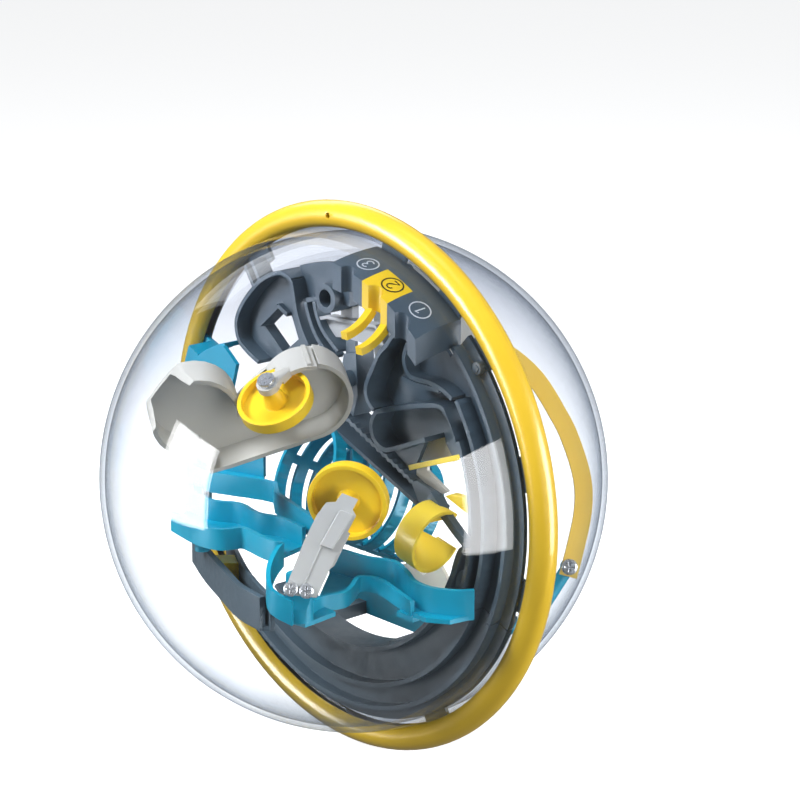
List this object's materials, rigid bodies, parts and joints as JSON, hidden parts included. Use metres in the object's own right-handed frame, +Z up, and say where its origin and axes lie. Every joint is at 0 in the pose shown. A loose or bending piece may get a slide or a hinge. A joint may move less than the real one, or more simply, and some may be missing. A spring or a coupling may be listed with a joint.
{
  "type": "tilt maze game",
  "caption": "Clear hollow ball with a tube ring round its middle and a plastic marble run inside, turned in the hands to roll a steel ball.",
  "frame": {"origin": "centre of the clear ball, in the plane of the ring", "axes": "the ring lies in the XZ plane, +Y is the ring's axis towards the rear dome, +Z is up with the start block at the top"},
  "size_m": [0.1988, 0.18, 0.1988],
  "materials": {
    "clear_shell": "crystal clear moulded styrene, polished",
    "ring_yellow_plastic": "glossy yellow moulded plastic with a fine parting line",
    "yellow_plastic": "satin yellow moulded plastic",
    "slate_plastic": "satin slate grey moulded plastic",
    "teal_plastic": "satin teal blue moulded plastic",
    "warm_grey_plastic": "satin warm grey moulded plastic",
    "pale_grey_plastic": "satin pale grey moulded plastic",
    "screw_steel": "zinc plated steel",
    "ball_steel": "polished bearing steel"
  },
  "bodies": {
    "root": {"dome_front": "clear_shell", "dome_rear": "clear_shell", "ring_front": "ring_yellow_plastic", "ring_rear": "ring_yellow_plastic", "start_block": "slate_plastic", "start_insert": "yellow_plastic", "d_tray": "slate_plastic", "top_plate": "slate_plastic", "twin_rails": "slate_plastic", "round_plate": "pale_grey_plastic", "black_block": "slate_plastic", "port_tube": "slate_plastic", "rim_track": "slate_plastic", "rim_bolt": "slate_plastic", "upper_pocket": "slate_plastic", "lower_pocket": "slate_plastic", "zigzag_channel": "slate_plastic", "gate_bar": "yellow_plastic", "gate_plate": "pale_grey_plastic", "scoop": "yellow_plastic", "scoop_link": "slate_plastic", "scoop_guard": "yellow_plastic", "end_plate": "warm_grey_plastic", "low_plate": "pale_grey_plastic", "spiral_cage": "teal_plastic", "wave_track": "teal_plastic", "scallop_track": "teal_plastic", "left_band": "teal_plastic", "left_track": "teal_plastic", "corner_wall": "slate_plastic", "corner_gate": "yellow_plastic", "lobe_tray": "warm_grey_plastic", "lobe_arm": "pale_grey_plastic", "tray_post": "slate_plastic", "spinner_upper_axle": "screw_steel", "spinner_lower_axle": "screw_steel", "spinner_bracket": "pale_grey_plastic", "bracket_screws": "screw_steel", "bracket_foot": "teal_plastic", "lower_track": "slate_plastic", "rear_arm": "yellow_plastic", "rear_arm_screw": "screw_steel", "rear_post": "teal_plastic", "rear_tray": "warm_grey_plastic", "rear_tray_posts": "slate_plastic", "ball_trough": "teal_plastic", "trough_posts": "slate_plastic"},
    "upper_dish": {"spinner_upper": "yellow_plastic"},
    "lower_dish": {"spinner_lower": "yellow_plastic"},
    "ball": {"steel_ball": "ball_steel"}
  },
  "joints": [
    {"name": "upper_dish_spin", "type": "hinge", "parent": "root", "child": "upper_dish", "pos_m": [0.01853, -0.0502, 0.04033], "axis": [0.1819, -0.5357, 0.8246], "continuous": true},
    {"name": "lower_dish_spin", "type": "hinge", "parent": "root", "child": "lower_dish", "pos_m": [0.04361, -0.04005, 0.01174], "axis": [0.5626, -0.8183, -0.1177], "continuous": true},
    {"name": "ball_roll", "type": "slide", "parent": "root", "child": "ball", "axis": [1, 0, 0], "range_m": [-0.024, 0.024]}
  ]
}
